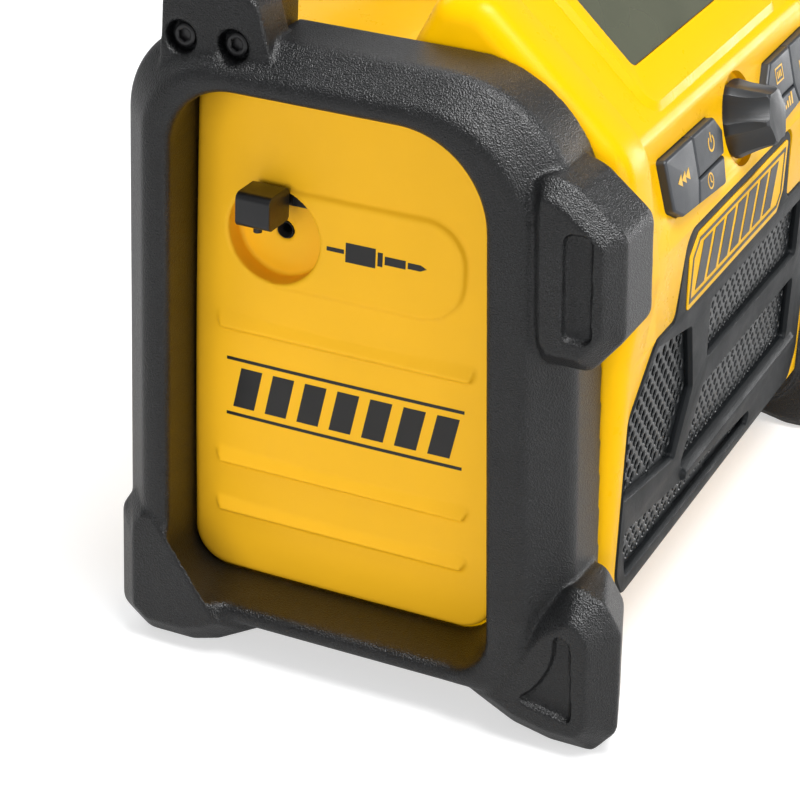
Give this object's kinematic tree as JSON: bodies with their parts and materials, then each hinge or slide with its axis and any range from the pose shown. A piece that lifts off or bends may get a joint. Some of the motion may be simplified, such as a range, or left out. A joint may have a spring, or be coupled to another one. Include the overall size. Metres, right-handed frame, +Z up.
{
  "type": "jobsite radio",
  "caption": "Boxy radio held between roll cages, with a carry handle, speaker grille, leaning display and keys, push-turn knob, covered audio socket and folding whip antenna.",
  "frame": {"origin": "on the ground, under the middle of the radio", "axes": "+X from the socket end to the other end, -Y the front with the controls, +Z up"},
  "size_m": [0.3136, 0.1907, 0.279],
  "materials": {
    "cage_black": "coarse moulded, matt",
    "body_yellow": "semi-gloss moulded",
    "panel_amber": "satin moulded",
    "grille_dark": "satin moulded",
    "mesh_dark": "matt painted",
    "plate_yellow": "satin",
    "key_grey": "soft touch",
    "knob_grey": "satin",
    "lens_green": "polished",
    "dark_plastic": "matt",
    "soft_black": "matt",
    "screw_steel": "bright",
    "mast_chrome": "polished",
    "board_green": "satin",
    "ferrite": "matt",
    "core_iron": "matt",
    "winding_copper": "lacquered",
    "sink_aluminium": "satin",
    "cone_paper": "felted"
  },
  "bodies": {
    "radio": {"left_roll_cage": "cage_black", "right_roll_cage": "cage_black", "front_housing": "body_yellow", "rear_housing": "body_yellow", "left_end_panel": "panel_amber", "right_end_panel": "panel_amber", "speaker_grille": "grille_dark", "left_grille_mesh": "mesh_dark", "upper_grille_mesh": "mesh_dark", "middle_grille_mesh": "mesh_dark", "lower_grille_mesh": "mesh_dark", "name_plate": "plate_yellow", "aux_jack": "dark_plastic", "aux_anchor": "soft_black", "aux_hinge_pin": "screw_steel", "control_board": "board_green", "tact_switches": "dark_plastic", "encoder_body": "dark_plastic", "encoder_nut": "screw_steel", "display_lens": "lens_green", "display_module": "dark_plastic", "carry_handle": "cage_black", "handle_grip": "soft_black", "main_board": "board_green", "heat_sink": "sink_aluminium", "transformer_core": "core_iron", "transformer_coil": "winding_copper", "battery_dock": "dark_plastic", "terminal_block": "dark_plastic", "power_inlet": "dark_plastic", "housing_screws": "screw_steel", "cage_screws": "screw_steel", "handle_bolts": "screw_steel", "board_screws": "screw_steel", "speaker_screws": "screw_steel", "left_speaker_frame": "screw_steel", "left_speaker_magnet": "ferrite", "left_speaker_cone": "cone_paper", "left_speaker_surround": "soft_black", "left_speaker_dust_cap": "cone_paper", "right_speaker_frame": "screw_steel", "right_speaker_magnet": "ferrite", "right_speaker_cone": "cone_paper", "right_speaker_surround": "soft_black", "right_speaker_dust_cap": "cone_paper"},
    "aux_cover_flap": {"aux_cover": "soft_black"},
    "antenna_foot": {"antenna_swivel": "mast_chrome", "antenna_washer": "screw_steel", "antenna_pin": "screw_steel"},
    "antenna_mast": {"antenna_whip": "mast_chrome"},
    "encoder_turn": {"encoder_rotor": "dark_plastic"},
    "knob": {"tuning_knob": "knob_grey", "encoder_shaft": "screw_steel"},
    "seek_down_key_cap": {"seek_down_key": "key_grey"},
    "power_key_cap": {"power_key": "key_grey"},
    "clock_key_cap": {"clock_key": "key_grey"},
    "seek_up_key_cap": {"seek_up_key": "key_grey"},
    "source_key_cap": {"source_key": "key_grey"},
    "preset_key_cap": {"preset_key": "key_grey"}
  },
  "joints": [
    {"name": "aux_cover_hinge", "type": "hinge", "parent": "radio", "child": "aux_cover_flap", "pos_m": [-0.127, 0.0465, 0.1683], "axis": [0, -1, 0], "range_deg": [0, 90]},
    {"name": "tuning_turn", "type": "hinge", "parent": "radio", "child": "encoder_turn", "pos_m": [0.003, -0.07282, 0.17732], "axis": [0, -0.9659, 0.2588], "continuous": true},
    {"name": "tuning_push", "type": "slide", "parent": "encoder_turn", "child": "knob", "axis": [0, 0.9659, -0.2588], "range_m": [0, 0.0006], "stiffness_N_per_m": 900, "springref_m": -0.0015},
    {"name": "antenna_turn", "type": "hinge", "parent": "radio", "child": "antenna_foot", "pos_m": [0.094, 0.0765, 0.208], "axis": [0, 1, 0], "range_deg": [0, 90]},
    {"name": "antenna_tilt", "type": "hinge", "parent": "antenna_foot", "child": "antenna_mast", "pos_m": [0.094, 0.085, 0.208], "axis": [0, 0, -1], "range_deg": [0, 90]},
    {"name": "seek_down_key_press", "type": "slide", "parent": "radio", "child": "seek_down_key_cap", "axis": [0, 0.9659, -0.2588], "range_m": [0, 0.0008], "stiffness_N_per_m": 700, "springref_m": -0.001},
    {"name": "power_key_press", "type": "slide", "parent": "radio", "child": "power_key_cap", "axis": [0, 0.9659, -0.2588], "range_m": [0, 0.0008], "stiffness_N_per_m": 700, "springref_m": -0.001},
    {"name": "clock_key_press", "type": "slide", "parent": "radio", "child": "clock_key_cap", "axis": [0, 0.9659, -0.2588], "range_m": [0, 0.0008], "stiffness_N_per_m": 700, "springref_m": -0.001},
    {"name": "seek_up_key_press", "type": "slide", "parent": "radio", "child": "seek_up_key_cap", "axis": [0, 0.9659, -0.2588], "range_m": [0, 0.0008], "stiffness_N_per_m": 700, "springref_m": -0.001},
    {"name": "source_key_press", "type": "slide", "parent": "radio", "child": "source_key_cap", "axis": [0, 0.9659, -0.2588], "range_m": [0, 0.0008], "stiffness_N_per_m": 700, "springref_m": -0.001},
    {"name": "preset_key_press", "type": "slide", "parent": "radio", "child": "preset_key_cap", "axis": [0, 0.9659, -0.2588], "range_m": [0, 0.0008], "stiffness_N_per_m": 700, "springref_m": -0.001}
  ]
}
